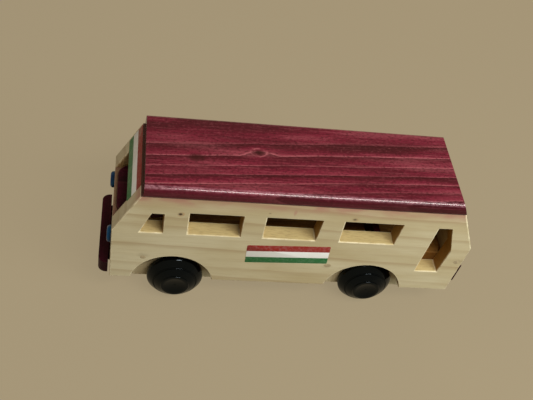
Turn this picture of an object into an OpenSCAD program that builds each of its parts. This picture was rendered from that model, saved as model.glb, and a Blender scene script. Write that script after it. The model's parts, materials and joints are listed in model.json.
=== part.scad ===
// A wooden toy bus: two sawn side boards, a stained roof board and turned wheels on round axles.
// Lengths are in millimetres. +X is the front of the bus, +Y its left side and +Z is up.
// The origin is on the ground, under the middle of the whole bus.

/* [Side boards] */
// Length of a side board, from its rearmost point to its front edge
wall_length = 250; // [200:1:320]
// Height of a side board, from its bottom edge to the roof
wall_height = 81.5; // [72:0.5:100]
// Thickness of a side board
wall_thick = 12; // [9:0.5:14]
// Width over the two side boards
body_width = 70; // [60:1:90]
// Height of the corner where the windscreen edge begins to lean back
belt_height = 48.7; // [44:0.1:54]
// How far the windscreen edge leans back at the roof
windscreen_rake = 17.2; // [8:0.2:20]
// Height of the rearmost point of a side board
kink_height = 47.6; // [42:0.1:54]
// How far the rear edge leans forward at the roof
rear_rake = 15.2; // [8:0.2:20]
// How far the rear edge is tucked in at the bottom
rear_tuck = 4; // [0:0.2:6]

/* [Windows] */
// Places along the side are shares of its length behind the front edge, and heights are shares of its height.
// Sill of the four side windows
window_sill_share = 0.584; // [0.56:0.001:0.64]
// Head of the second, third and fourth windows
window_head_share = 0.832; // [0.78:0.001:0.88]
// Head of the first window
first_head_share = 0.806; // [0.76:0.001:0.86]
// Front lower corner of the first window
first_low_share = 0.073; // [0.06:0.001:0.08]
// Front upper corner of the first window
first_high_share = 0.101; // [0.09:0.001:0.115]
// Rear side of the first window
first_rear_share = 0.133; // [0.125:0.001:0.15]
// Front side of the second window
second_front_share = 0.199; // [0.18:0.001:0.22]
// Rear side of the second window
second_rear_share = 0.341; // [0.32:0.001:0.36]
// Front side of the third window
third_front_share = 0.403; // [0.39:0.001:0.42]
// Rear side of the third window, halfway up
third_rear_share = 0.552; // [0.53:0.001:0.57]
// How much further back the third window's rear side is at its head than at its sill
third_slant = 1.6; // [0.2:0.1:3]
// Front side of the fourth window
fourth_front_share = 0.616; // [0.6:0.001:0.63]
// Rear side of the fourth window, halfway up
fourth_rear_share = 0.775; // [0.75:0.001:0.79]
// How much further back the fourth window's rear side is at its head than at its sill
fourth_slant = 1.9; // [0.2:0.1:3]
// Front lower corner of the tall rear window
tall_low_front_share = 0.866; // [0.85:0.001:0.88]
// Front upper corner of the tall rear window
tall_high_front_share = 0.882; // [0.87:0.001:0.895]
// Rear lower corner of the tall rear window
tall_low_rear_share = 0.931; // [0.915:0.001:0.94]
// Rear middle corner of the tall rear window
tall_mid_rear_share = 0.944; // [0.935:0.001:0.946]
// Rear upper corner of the tall rear window
tall_high_rear_share = 0.919; // [0.91:0.001:0.925]
// Sill of the tall rear window
tall_sill_share = 0.25; // [0.22:0.001:0.3]
// Height of the tall rear window's middle corner
tall_mid_share = 0.541; // [0.5:0.001:0.57]
// Head of the tall rear window
tall_head_share = 0.811; // [0.77:0.001:0.85]

/* [Roof] */
// Thickness of the roof board
roof_thick = 8.8; // [7:0.1:12]
// How far the roof board overhangs each side board
roof_overhang = 0.6; // [0.2:0.1:1.2]
// Radius of the roof's rounded long top edges
roof_round = 4.6; // [2:0.1:5]
// Radius of the roof's eased long bottom edges
roof_ease = 1.5; // [0.5:0.1:1.8]
// How far the roof's front end is set back from the side boards' front corners
roof_setback = 1.4; // [0.2:0.1:3]
// How far the roof's front end leans back at the top
roof_front_rake = 0.6; // [0.2:0.1:5]
// How far the roof's rear end leans forward at the top
roof_rear_rake = 3.8; // [0.5:0.1:5]

/* [Boards inside] */
// Thickness of the floor board
floor_thick = 12; // [9:0.5:14]
// Height of the floor board's underside above the side boards' bottom edge
floor_rise = 16; // [13:0.5:19]
// Thickness of the front panel
panel_thick = 12; // [9:0.5:14]
// How far the front panel rises above the belt corner
panel_rise = 0.5; // [0:0.1:2]
// Thickness of the rear panel at its bottom
rear_panel_thick = 8.5; // [7:0.5:8.5]
// Height of the header over the windscreen
screen_header_height = 16; // [9:0.2:18]
// Height of the header over the rear window
rear_header_height = 12.4; // [9:0.2:14]
// Thickness of the headers, measured along the bus
header_thick = 9; // [6:0.5:12]
// Length of the dash board
dash_length = 34; // [25:0.5:50]
// Thickness of the dash board
dash_thick = 3; // [2:0.1:5]
// How far the dash board is set back behind the front panel's face
dash_setback = 2.2; // [0.5:0.1:4]
// Radius of the dash board's front corners
dash_round = 9; // [3:0.5:12]
// Gap between the dash board and each side board
dash_gap = 0.4; // [0.2:0.1:1]
// Place of the cross board, as a share of the length behind the front edge
cross_share = 0.737; // [0.7:0.001:0.78]
// Thickness of the cross board
cross_thick = 4.5; // [3:0.5:8]
// Height of the cross board above the floor board
cross_height = 17.5; // [12:0.5:24]

/* [Wheels] */
// Radius of the wheel arches
arch_radius = 29; // [27:0.5:32]
// How far the arches' centres lie below the side boards' bottom edge
arch_drop = 5.3; // [3:0.1:7]
// Distance of the front axle behind the side boards' front edge
front_axle_setback = 45.75; // [44:0.25:48]
// Distance of the rear axle in front of the side boards' rearmost point
rear_axle_setback = 64; // [62:0.25:67]
// How far the front arch's centre lies ahead of the front axle
front_arch_lead = 3; // [0:0.25:5]
// How far the rear arch's centre lies ahead of the rear axle
rear_arch_lead = 4.75; // [0:0.25:5]
// How far the axles lie below the side boards' bottom edge
axle_drop = 4.2; // [3:0.1:6]
// Radius of the wheels
wheel_radius = 19.8; // [18:0.1:22]
// Width of a wheel's flat tread
tread_width = 2.2; // [1.5:0.1:5.5]
// Radius of the shoulder between the tread and the dome
shoulder_round = 3; // [2:0.1:4]
// Angle at which the shoulder runs into the dome, measured from the axle
shoulder_angle = 50; // [30:1:58]
// Width of a wheel from its inner face to the face of its boss
wheel_width = 12; // [11:0.1:14]
// Radius of the raised boss in the middle of a wheel
boss_radius = 10; // [8.8:0.1:11]
// Height of the boss above the dome
boss_rise = 0.9; // [0.4:0.1:1.2]
// Radius of the boss's rounded edge
boss_ease = 0.7; // [0.3:0.1:0.9]
// Radius of the dish turned into the boss
dish_radius = 8; // [6:0.1:8]
// Depth of the dish
dish_depth = 1; // [0.5:0.1:1.6]
// Radius of the ring groove on the dome
groove_radius = 15; // [12.5:0.1:16]
// Width of the ring groove
groove_width = 1.2; // [0.6:0.1:1.6]
// Chamfer on the tread's inner edge
tread_chamfer = 0.7; // [0.3:0.1:1]
// Radius of the axles
axle_radius = 3; // [2.5:0.1:3.5]
// How deep each wheel is pushed on to its axle
axle_depth = 8; // [6:0.1:8.5]
// Running clearance round the axles in their blocks
axle_clearance = 0.08; // [0.05:0.01:0.1]
// Length of the axle blocks
block_length = 60; // [50:1:66]
// How far the axle blocks reach below the side boards' bottom edge
block_drop = 11.8; // [10:0.1:14]
// Outer radius of the washers
washer_radius = 6.5; // [5.5:0.1:8]
// Thickness of the rear washers
washer_thick = 0.7; // [0.5:0.1:1]
// How much thicker the front washers are, which sets the front wheels further out
front_spacing = 2.6; // [0.5:0.1:3.5]
// Running gap between a washer and its block
washer_gap = 0.2; // [0.15:0.05:0.4]
// Clearance round the axle in a washer
washer_clearance = 0.1; // [0.05:0.01:0.2]

/* [Bumpers and lamps] */
// Width of the front bumper
bumper_width = 64.5; // [50:0.5:70]
// Depth of the front bumper
bumper_depth = 6.6; // [5:0.1:10]
// Height of the front bumper
bumper_height = 10; // [8:0.1:13]
// Height of the front bumper's underside above the side boards' bottom edge
bumper_rise = 1.3; // [0.5:0.1:4]
// Radius of the front bumper's outer corners
bumper_round = 5.5; // [3:0.1:5.8]
// Thickness of the packing strip behind the bumper
packing_thick = 1.4; // [0.8:0.1:3]
// How much lower the packing strip is than the bumper, above and below
packing_inset = 1.2; // [0.5:0.1:2.5]
// Width of the rear bumper plate
plate_width = 64.5; // [50:0.5:70]
// Thickness of the rear bumper plate
plate_thick = 3.4; // [2:0.1:6]
// Height of the rear bumper plate
plate_height = 17.5; // [14:0.5:28]
// Height of the rear bumper plate's lower edge, measured along the leaning rear edge
plate_rise = 8; // [4:0.1:12]
// Radius of the headlights' buttons
lamp_radius = 5.9; // [4.5:0.1:7]
// Height of the headlights' buttons
lamp_rise = 3; // [2.6:0.1:4]
// Radius of the buttons' rounded rims
lamp_edge = 2; // [1:0.1:2.5]
// Height of the headlights above the side boards' bottom edge
lamp_height = 34; // [28:0.5:38]
// How far the headlights' centres lie outside the side boards' inner faces
lamp_offset = 2.7; // [2:0.1:4]
// Radius of a headlight's shank
lamp_shank_radius = 1.2; // [0.8:0.1:1.5]
// Length of a headlight's shank
lamp_shank_length = 8; // [5:0.5:12]

/* [Nails] */
// Radius of the nails
nail_radius = 1.1; // [0.7:0.1:1.5]
// Length of the nails
nail_length = 26; // [20:0.5:32]
// Front nail, as a share of the length behind the front edge
front_nail_share = 0.088; // [0.082:0.001:0.1]
// Middle nail, as a share of the length behind the front edge
middle_nail_share = 0.604; // [0.59:0.001:0.62]
// Distance of the rear nail in front of the rear panel's outer face
rear_nail_inset = 4.6; // [3:0.1:5.5]
// Height of the rear nail above the side boards' bottom edge
rear_nail_height = 32; // [28:0.5:38]
// Clearance round nails and shanks in their holes
pin_clearance = 0.05; // [0.02:0.01:0.1]

/* [Hidden] */
$fn = 72;

// how far a cutting solid runs past the face it cuts
overrun = body_width / 20;

// side boards in their own frame: x is zero halfway along them and z is zero at their bottom edge
half = 1 / 2;
wall_front = wall_length * half;
wall_rear = -wall_length * half;
roof_line_front = wall_front - windscreen_rake;
roof_line_rear = wall_rear + rear_rake;
rear_foot = wall_rear + rear_tuck;
rear_lean = atan(rear_tuck / kink_height);
outer_half = body_width * half;
inner_half = outer_half - wall_thick;
inner_width = 2 * inner_half;

// boards inside
panel_back = wall_front - panel_thick;
panel_top = belt_height + panel_rise;
rear_panel_front = rear_foot + rear_panel_thick;
floor_top = floor_rise + floor_thick;
screen_header_low = wall_height - screen_header_height;
rear_header_low = wall_height - rear_header_height;

// wheels
front_axle_x = wall_front - front_axle_setback;
rear_axle_x = wall_rear + rear_axle_setback;
washer_start = inner_half + washer_gap;
front_washer_thick = washer_thick + front_spacing;
front_wheel_inner = washer_start + front_washer_thick;
rear_wheel_inner = washer_start + washer_thick;
shoulder_middle = wheel_radius - shoulder_round;
dome_rim = shoulder_middle + shoulder_round * sin(shoulder_angle);
dome_foot = tread_width + shoulder_round * cos(shoulder_angle);
dome_fall = wheel_width - boss_rise - dome_foot;
// the dome is part of a ball through the end of the shoulder and the foot of the boss
dome_depth = (dome_rim * dome_rim - boss_radius * boss_radius - dome_fall * dome_fall) / (2 * dome_fall);
dome_radius = sqrt(boss_radius * boss_radius + (dome_depth + dome_fall) * (dome_depth + dome_fall));
dome_centre = dome_foot - dome_depth;
groove_height = dome_centre + sqrt(dome_radius * dome_radius - groove_radius * groove_radius);
// the dish is the mark of a ball that dips into the boss
dish_ball = (dish_radius * dish_radius + dish_depth * dish_depth) / (2 * dish_depth);

// bumpers, lamps and nails
bumper_back = wall_front + packing_thick;
bumper_front = bumper_back + bumper_depth;
plate_top = plate_rise + plate_height;
rear_reach = -rear_foot + plate_top * sin(rear_lean) + plate_thick * cos(rear_lean);
lamp_y = inner_half + lamp_offset;
front_nail_x = wall_front - front_nail_share * wall_length;
middle_nail_x = wall_front - middle_nail_share * wall_length;
side_nail_height = floor_rise + floor_thick * half;
rear_nail_x = rear_foot - rear_nail_height * tan(rear_lean) + rear_nail_inset;
nail_points = [[front_nail_x, side_nail_height], [middle_nail_x, side_nail_height], [rear_nail_x, rear_nail_height]];

// from the side boards' frame to the ground under the middle of the bus
ground_lift = axle_drop + wheel_radius;
middle_shift = (rear_reach - bumper_front) * half;

pine = "burlywood";
maroon = "brown";
black = "dimgray";
steel = "silver";
blue = "steelblue";

// helpers

// the x of a share of the length behind the front edge
function along(share) = wall_front - share * wall_length;

// the height of a share of the side board's height
function up(share) = share * wall_height;

// how far the windscreen edge and the rear edge have leaned in at a height
function windscreen_lean(height) = windscreen_rake * (height - belt_height) / (wall_height - belt_height);
function tail_lean(height) = rear_rake * (height - kink_height) / (wall_height - kink_height);

module placed() {
  translate([middle_shift, 0, ground_lift]) children();
}

// stands an outline drawn in x and height upright, from y_low, for a thickness along y
module upright(y_low, thickness) {
  translate([0, y_low + thickness, 0]) rotate([90, 0, 0]) linear_extrude(height = thickness) children();
}

module mirrored_to_right() {
  mirror([0, 1, 0]) children();
}

// side boards

module side_outline() {
  polygon([[wall_front, 0], [wall_front, belt_height], [roof_line_front, wall_height],
           [roof_line_rear, wall_height], [wall_rear, kink_height], [rear_foot, 0]]);
}

// the slant is how much further back the rear side is at the head than at the sill
module square_window(front_share, rear_share, slant = 0) {
  polygon([[along(front_share), up(window_sill_share)], [along(front_share), up(window_head_share)],
           [along(rear_share) - slant * half, up(window_head_share)],
           [along(rear_share) + slant * half, up(window_sill_share)]]);
}

module first_window() {
  polygon([[along(first_low_share), up(window_sill_share)], [along(first_high_share), up(first_head_share)],
           [along(first_rear_share), up(first_head_share)], [along(first_rear_share), up(window_sill_share)]]);
}

module tall_window() {
  polygon([[along(tall_low_front_share), up(tall_sill_share)], [along(tall_high_front_share), up(tall_head_share)],
           [along(tall_high_rear_share), up(tall_head_share)], [along(tall_mid_rear_share), up(tall_mid_share)],
           [along(tall_low_rear_share), up(tall_sill_share)]]);
}

module arch(centre_x) {
  translate([centre_x, -arch_drop]) circle(r = arch_radius);
}

module sawn_side() {
  difference() {
    side_outline();
    first_window();
    square_window(second_front_share, second_rear_share);
    square_window(third_front_share, third_rear_share, third_slant);
    square_window(fourth_front_share, fourth_rear_share, fourth_slant);
    tall_window();
    arch(front_axle_x + front_arch_lead);
    arch(rear_axle_x + rear_arch_lead);
  }
}

module nail_shanks(radius, extra) {
  for (point = nail_points)
    translate([point[0], outer_half + extra, point[1]]) rotate([90, 0, 0])
      cylinder(r = radius, h = nail_length + extra);
}

module lamp_shank(radius) {
  translate([wall_front - lamp_shank_length, lamp_y, lamp_height]) rotate([0, 90, 0])
    cylinder(r = radius, h = lamp_shank_length + overrun);
}

module side_board() {
  difference() {
    upright(inner_half, wall_thick) sawn_side();
    nail_shanks(nail_radius + pin_clearance, overrun);
    lamp_shank(lamp_shank_radius + pin_clearance);
  }
}

module left_wall() {
  color(pine) placed() side_board();
}

module right_wall() {
  color(pine) placed() mirrored_to_right() side_board();
}

// roof

module roof_section() {
  roof_half = outer_half + roof_overhang;
  difference() {
    translate([-roof_half, 0]) square([2 * roof_half, roof_thick]);
    for (side = [-1, 1]) {
      translate([side * roof_half, roof_thick]) corner_cut(roof_round, -side, -1);
      translate([side * roof_half, 0]) corner_cut(roof_ease, -side, 1);
    }
  }
}

// the waste outside a rounded corner, which points away from the way in
module corner_cut(radius, in_x, in_y) {
  difference() {
    translate([in_x > 0 ? -overrun : -radius, in_y > 0 ? -overrun : -radius]) square(radius + overrun);
    translate([in_x * radius, in_y * radius]) circle(r = radius);
  }
}

module roof_side_outline() {
  roof_front = roof_line_front - roof_setback;
  polygon([[roof_front, 0], [roof_front - roof_front_rake, roof_thick],
           [roof_line_rear + roof_rear_rake, roof_thick], [roof_line_rear, 0]]);
}

module roof() {
  color(maroon) placed() translate([0, 0, wall_height]) intersection() {
    upright(-body_width, 2 * body_width) roof_side_outline();
    translate([wall_rear, 0, 0]) rotate([90, 0, 90]) linear_extrude(height = wall_length) roof_section();
  }
}

// boards between the side boards

module floor_board() {
  color(pine) placed() difference() {
    translate([rear_panel_front, -inner_half, floor_rise]) cube([panel_back - rear_panel_front, inner_width, floor_thick]);
    both_sides() nail_shanks(nail_radius + pin_clearance, overrun);
  }
}

module both_sides() {
  children();
  mirrored_to_right() children();
}

module front_panel() {
  color(pine) placed() translate([panel_back, -inner_half, 0]) cube([panel_thick, inner_width, panel_top]);
}

module rear_panel_outline() {
  polygon([[rear_foot, 0], [rear_panel_front, 0], [rear_panel_front, kink_height], [wall_rear, kink_height]]);
}

module rear_panel() {
  color(pine) placed() difference() {
    upright(-inner_half, inner_width) rear_panel_outline();
    both_sides() nail_shanks(nail_radius + pin_clearance, overrun);
  }
}

module windscreen_header_outline() {
  low_x = wall_front - windscreen_lean(screen_header_low);
  polygon([[low_x, screen_header_low], [roof_line_front, wall_height],
           [roof_line_front - header_thick, wall_height], [low_x - header_thick, screen_header_low]]);
}

module windscreen_header() {
  color(pine) placed() upright(-inner_half, inner_width) windscreen_header_outline();
}

module rear_header_outline() {
  low_x = wall_rear + tail_lean(rear_header_low);
  polygon([[low_x, rear_header_low], [low_x + header_thick, rear_header_low],
           [roof_line_rear + header_thick, wall_height], [roof_line_rear, wall_height]]);
}

module rear_header() {
  color(pine) placed() upright(-inner_half, inner_width) rear_header_outline();
}

module dash_outline() {
  dash_half = inner_half - dash_gap;
  difference() {
    translate([-dash_length, -dash_half]) square([dash_length, 2 * dash_half]);
    for (side = [-1, 1]) translate([0, side * dash_half]) corner_cut(dash_round, -1, -side);
  }
}

module dash_board() {
  color(maroon) placed() translate([wall_front - dash_setback, 0, panel_top])
    linear_extrude(height = dash_thick) dash_outline();
}

module cross_board() {
  color(maroon) placed() translate([along(cross_share) - cross_thick * half, -inner_half, floor_top])
    cube([cross_thick, inner_width, cross_height]);
}

// running gear

module axle_block(axle_x) {
  color(pine) placed() difference() {
    translate([axle_x - block_length * half, -inner_half, -block_drop])
      cube([block_length, inner_width, block_drop + floor_rise]);
    translate([axle_x, inner_half + overrun, -axle_drop]) rotate([90, 0, 0])
      cylinder(r = axle_radius + axle_clearance, h = inner_width + 2 * overrun);
  }
}

module front_axle_block() {
  axle_block(front_axle_x);
}

module rear_axle_block() {
  axle_block(rear_axle_x);
}

module axle(axle_x, wheel_inner) {
  axle_half = wheel_inner + axle_depth;
  color(steel) placed() translate([axle_x, axle_half, -axle_drop]) rotate([90, 0, 0])
    cylinder(r = axle_radius, h = 2 * axle_half);
}

module front_axle() {
  axle(front_axle_x, front_wheel_inner);
}

module rear_axle() {
  axle(rear_axle_x, rear_wheel_inner);
}

// half section of a wheel: x is the radius and y runs from the inner face to the boss
module wheel_section() {
  difference() {
    union() {
      square([wheel_radius, tread_width]);
      intersection() {
        square([wheel_radius, wheel_width]);
        translate([shoulder_middle, tread_width]) circle(r = shoulder_round);
      }
      intersection() {
        square([dome_rim, wheel_width]);
        translate([0, dome_centre]) circle(r = dome_radius);
      }
      boss_section();
    }
    translate([groove_radius, groove_height]) circle(r = groove_width * half);
    translate([0, wheel_width + dish_ball - dish_depth]) circle(r = dish_ball);
    translate([wheel_radius, 0]) rotate(45) square(tread_chamfer, center = true);
    translate([0, -overrun]) square([axle_radius, axle_depth + overrun]);
  }
}

module boss_section() {
  difference() {
    square([boss_radius, wheel_width]);
    translate([boss_radius, wheel_width]) corner_cut(boss_ease, -1, -1);
  }
}

module turned_wheel() {
  rotate([-90, 0, 0]) rotate_extrude() wheel_section();
}

module left_wheel(axle_x, wheel_inner) {
  color(black) placed() translate([axle_x, wheel_inner, -axle_drop]) turned_wheel();
}

module right_wheel(axle_x, wheel_inner) {
  color(black) placed() mirrored_to_right() translate([axle_x, wheel_inner, -axle_drop]) turned_wheel();
}

module front_left_wheel() {
  left_wheel(front_axle_x, front_wheel_inner);
}

module front_right_wheel() {
  right_wheel(front_axle_x, front_wheel_inner);
}

module rear_left_wheel() {
  left_wheel(rear_axle_x, rear_wheel_inner);
}

module rear_right_wheel() {
  right_wheel(rear_axle_x, rear_wheel_inner);
}

module washer_pair(axle_x, thickness) {
  color(steel) placed() both_sides()
    translate([axle_x, washer_start + thickness, -axle_drop]) rotate([90, 0, 0]) difference() {
      cylinder(r = washer_radius, h = thickness);
      translate([0, 0, -overrun]) cylinder(r = axle_radius + washer_clearance, h = thickness + 2 * overrun);
    }
}

module front_washers() {
  washer_pair(front_axle_x, front_washer_thick);
}

module rear_washers() {
  washer_pair(rear_axle_x, washer_thick);
}

// bumpers

module bumper_outline() {
  bumper_half = bumper_width * half;
  difference() {
    translate([0, -bumper_half]) square([bumper_depth, bumper_width]);
    for (side = [-1, 1]) translate([bumper_depth, side * bumper_half]) corner_cut(bumper_round, -1, -side);
  }
}

module front_bumper() {
  color(maroon) placed() translate([bumper_back, 0, bumper_rise])
    linear_extrude(height = bumper_height) bumper_outline();
}

module bumper_packing() {
  color(maroon) placed() translate([wall_front, -inner_half, bumper_rise + packing_inset])
    cube([packing_thick, inner_width, bumper_height - 2 * packing_inset]);
}

module rear_bumper() {
  color(maroon) placed() translate([rear_foot, -plate_width * half, 0]) rotate([0, -rear_lean, 0])
    translate([-plate_thick, 0, plate_rise]) cube([plate_thick, plate_width, plate_height]);
}

// headlights

// half section of a button: x is the radius and y runs from the body to its face
module button_section() {
  difference() {
    square([lamp_radius, lamp_rise]);
    translate([lamp_radius, lamp_rise]) corner_cut(lamp_edge, -1, -1);
  }
}

module headlight() {
  translate([wall_front, lamp_y, lamp_height]) rotate([0, 90, 0]) {
    rotate_extrude() button_section();
    translate([0, 0, -lamp_shank_length]) cylinder(r = lamp_shank_radius, h = lamp_shank_length);
  }
}

module left_headlight() {
  color(blue) placed() headlight();
}

module right_headlight() {
  color(blue) placed() mirrored_to_right() headlight();
}

// nails

module left_nails() {
  color(steel) placed() nail_shanks(nail_radius, 0);
}

module right_nails() {
  color(steel) placed() mirrored_to_right() nail_shanks(nail_radius, 0);
}

left_wall();
right_wall();
roof();
floor_board();
front_panel();
rear_panel();
windscreen_header();
rear_header();
dash_board();
cross_board();
front_axle_block();
rear_axle_block();
front_axle();
rear_axle();
front_left_wheel();
front_right_wheel();
rear_left_wheel();
rear_right_wheel();
front_washers();
rear_washers();
front_bumper();
bumper_packing();
rear_bumper();
left_headlight();
right_headlight();
left_nails();
right_nails();
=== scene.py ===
# %% [markdown]
# A wooden toy bus is a few sawn boards, four turned wheels and some paint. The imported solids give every
# piece its size and place. This lesson gives them what a workshop gives them: eased edges, wood grain,
# stain, varnish, lacquer and two striped labels. The bus then stands on a plain floor under soft lamps.

# %% load the frame
import json
import math
from collections import namedtuple

import bmesh
import bpy
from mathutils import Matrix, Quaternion, Vector


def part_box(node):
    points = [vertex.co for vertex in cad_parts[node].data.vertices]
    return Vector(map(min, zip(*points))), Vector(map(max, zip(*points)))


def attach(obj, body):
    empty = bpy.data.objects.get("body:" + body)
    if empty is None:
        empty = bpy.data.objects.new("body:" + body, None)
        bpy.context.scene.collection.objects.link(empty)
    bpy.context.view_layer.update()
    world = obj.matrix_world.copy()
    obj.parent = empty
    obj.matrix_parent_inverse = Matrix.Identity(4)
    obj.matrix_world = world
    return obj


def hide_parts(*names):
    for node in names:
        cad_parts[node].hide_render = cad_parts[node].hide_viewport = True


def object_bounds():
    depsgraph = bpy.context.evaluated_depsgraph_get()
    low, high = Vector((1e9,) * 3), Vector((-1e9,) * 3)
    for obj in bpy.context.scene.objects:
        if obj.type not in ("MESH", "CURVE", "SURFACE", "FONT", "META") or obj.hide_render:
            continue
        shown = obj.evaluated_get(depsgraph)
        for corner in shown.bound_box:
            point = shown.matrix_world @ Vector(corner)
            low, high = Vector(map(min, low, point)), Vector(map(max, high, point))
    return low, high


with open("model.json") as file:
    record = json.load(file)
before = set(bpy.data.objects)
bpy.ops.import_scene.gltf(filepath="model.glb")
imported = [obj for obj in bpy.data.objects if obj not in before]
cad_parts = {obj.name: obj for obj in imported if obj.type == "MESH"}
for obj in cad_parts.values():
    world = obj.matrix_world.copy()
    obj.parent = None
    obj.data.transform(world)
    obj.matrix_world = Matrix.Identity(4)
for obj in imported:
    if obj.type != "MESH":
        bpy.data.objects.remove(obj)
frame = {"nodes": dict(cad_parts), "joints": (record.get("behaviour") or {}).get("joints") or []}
cad_low, cad_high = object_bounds()
print("CAD box from", tuple(cad_low), "to", tuple(cad_high))

MM = 0.001

# %% [markdown]
# An operator works on everything that is selected, and loading leaves every solid selected. So each piece
# starts by being picked alone. Colours are easiest to judge as numbers from 0 to 255, while shaders work in
# linear light, so one small function turns the first kind into the second.

# %% helpers for picking pieces and mixing colours


def pick(piece):
    """Selects one object alone and makes it the one that operators work on."""
    bpy.ops.object.select_all(action="DESELECT")
    piece.select_set(True)
    bpy.context.view_layer.objects.active = piece


def paint(red, green, blue):
    """A colour given as 0 to 255, turned into the linear light that shaders use."""
    def linear(level):
        share = level / 255
        return share / 12.92 if share <= 0.04045 else ((share + 0.055) / 1.055) ** 2.4
    return (linear(red), linear(green), linear(blue), 1.0)


print("a mid grey of 128 is", round(paint(128, 128, 128)[0], 3), "in linear light")

# %% [markdown]
# A shader is a chain of small nodes. These helpers add a node, join a socket to it or set a plain number,
# and do sums on values that change over the surface. They keep the recipes for wood and paint short.

# %% helpers for shader nodes
MIX_FIRST, MIX_SECOND, MIX_RESULT = 6, 7, 2


def add_node(tree, kind, **settings):
    """Adds a shader node and sets its named properties."""
    node = tree.nodes.new(kind)
    for name, value in settings.items():
        setattr(node, name, value)
    return node


def feed(tree, target, source):
    """Joins an output to an input, or sets the input to a plain value."""
    if isinstance(source, bpy.types.NodeSocket):
        tree.links.new(source, target)
    else:
        target.default_value = source


def sum_of(tree, operation, *values):
    """A math node that works on sockets or numbers."""
    node = add_node(tree, "ShaderNodeMath", operation=operation)
    for target, source in zip(node.inputs, values):
        feed(tree, target, source)
    return node.outputs[0]


def vector_sum(tree, operation, *values):
    """A vector math node that works on sockets or triples of numbers."""
    node = add_node(tree, "ShaderNodeVectorMath", operation=operation)
    for target, source in zip(node.inputs, values):
        feed(tree, target, source)
    return node.outputs["Value" if operation == "LENGTH" else "Vector"]


def axes_of(tree, source):
    """The x, y and z of a vector, each as an output of its own."""
    node = add_node(tree, "ShaderNodeSeparateXYZ")
    feed(tree, node.inputs[0], source)
    return node.outputs


def stretch(tree, value, low, high, to_low=0.0, to_high=1.0):
    """Maps low to high smoothly on to another stretch, held at both ends."""
    node = add_node(tree, "ShaderNodeMapRange", interpolation_type="SMOOTHSTEP")
    for name, source in (("Value", value), ("From Min", low), ("From Max", high),
                         ("To Min", to_low), ("To Max", to_high)):
        feed(tree, node.inputs[name], source)
    return node.outputs["Result"]


def cloudy(tree, place, counts, detail=2.0, roughness=0.5):
    """A noise from 0 to 1 whose counts are so many clouds per metre along x, y and z."""
    node = add_node(tree, "ShaderNodeTexNoise", noise_dimensions="3D")
    feed(tree, node.inputs["Vector"], vector_sum(tree, "MULTIPLY", place, counts))
    node.inputs["Scale"].default_value = 1.0
    node.inputs["Detail"].default_value = detail
    node.inputs["Roughness"].default_value = roughness
    return node.outputs["Fac"]


def blend_colours(tree, share, first, second):
    """Mixes two colours, sockets or plain, by a share from 0 to 1."""
    node = add_node(tree, "ShaderNodeMix", data_type="RGBA")
    feed(tree, node.inputs["Factor"], share)
    feed(tree, node.inputs[MIX_FIRST], first)
    feed(tree, node.inputs[MIX_SECOND], second)
    return node.outputs[MIX_RESULT]


def colour_steps(tree, value, steps):
    """A colour ramp with a colour at each given level of a value."""
    node = add_node(tree, "ShaderNodeValToRGB")
    feed(tree, node.inputs["Fac"], value)
    stops = node.color_ramp.elements
    stops[0].position, stops[0].color = steps[0]
    stops[1].position, stops[1].color = steps[-1]
    for level, colour in steps[1:-1]:
        stops.new(level).color = colour
    return node.outputs["Color"]


print("node helpers ready")

# %% [markdown]
# Wood, knots, wear and handling marks turn up on more than one finish. Each becomes a node group with named
# inputs and outputs, made once and placed in every material that needs it with its own values.

# %% helpers for node groups


def start_group(name, inputs, outputs):
    """Makes a shader group with named sockets, and hands back its tree, its inputs and its outputs."""
    tree = bpy.data.node_groups.new(name, "ShaderNodeTree")
    for title, kind in inputs:
        tree.interface.new_socket(title, in_out="INPUT", socket_type="NodeSocket" + kind)
    for title in outputs:
        tree.interface.new_socket(title, in_out="OUTPUT", socket_type="NodeSocketFloat")
    return tree, add_node(tree, "NodeGroupInput").outputs, add_node(tree, "NodeGroupOutput").inputs


def use_group(tree, group, **values):
    """Places a group in a material and feeds its inputs by name."""
    node = add_node(tree, "ShaderNodeGroup", node_tree=group)
    for title, source in values.items():
        feed(tree, node.inputs[title], source)
    return node.outputs


print("group helpers ready")

# %% [markdown]
# A tree grows in rings round its pith, and a board is a flat slice through them. So the figure is measured
# the way the tree made it: the distance from a pith line that runs along the board, leaning a little, is
# counted in rings. Slow clouds bend the rings, and thin stretched clouds are the fibres. From one ring to
# the next the tone moves a turn along a wave, so that neighbours differ. A picture of wood would be easier,
# but it would not agree on the faces and edges of one board, and this does.

# %% group: rings and fibres of timber
BEND_CLOUDS = (7, 34, 34)
FIBRE_CLOUDS = (34, 880, 880)
PATCH_CLOUDS = (13, 46, 46)
ACROSS_GRAIN = (0.0, 1.0, 1.0)
RING_TURN = 2.4

timber_figure, given, result = start_group(
    "timber_figure",
    (("Place", "Vector"), ("Pith", "Vector"), ("Lean", "Vector"), ("Spacing", "Float"),
     ("Wander", "Float"), ("Strong", "Float"), ("Push", "Float")),
    ("Phase", "Tone", "Fibre", "Patch"))
tree = timber_figure
place = given["Place"]
drift = vector_sum(tree, "MULTIPLY", given["Lean"], axes_of(tree, place)["X"])
from_pith = vector_sum(tree, "SUBTRACT", place, given["Pith"])
from_pith = vector_sum(tree, "SUBTRACT", from_pith, drift)
radius = vector_sum(tree, "LENGTH", vector_sum(tree, "MULTIPLY", from_pith, ACROSS_GRAIN))
pushed = sum_of(tree, "ADD", radius, given["Push"])
slow_bend = sum_of(tree, "SUBTRACT", cloudy(tree, place, BEND_CLOUDS, 3.0, 0.55), 0.5)
bent = sum_of(tree, "MULTIPLY_ADD", slow_bend, given["Wander"], pushed)
rings = sum_of(tree, "DIVIDE", bent, given["Spacing"])
feed(tree, result["Phase"], sum_of(tree, "FRACT", rings))
turn_of_ring = sum_of(tree, "SUBTRACT", sum_of(tree, "FLOOR", rings), given["Strong"])
swing = sum_of(tree, "COSINE", sum_of(tree, "MULTIPLY", turn_of_ring, RING_TURN))
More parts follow.
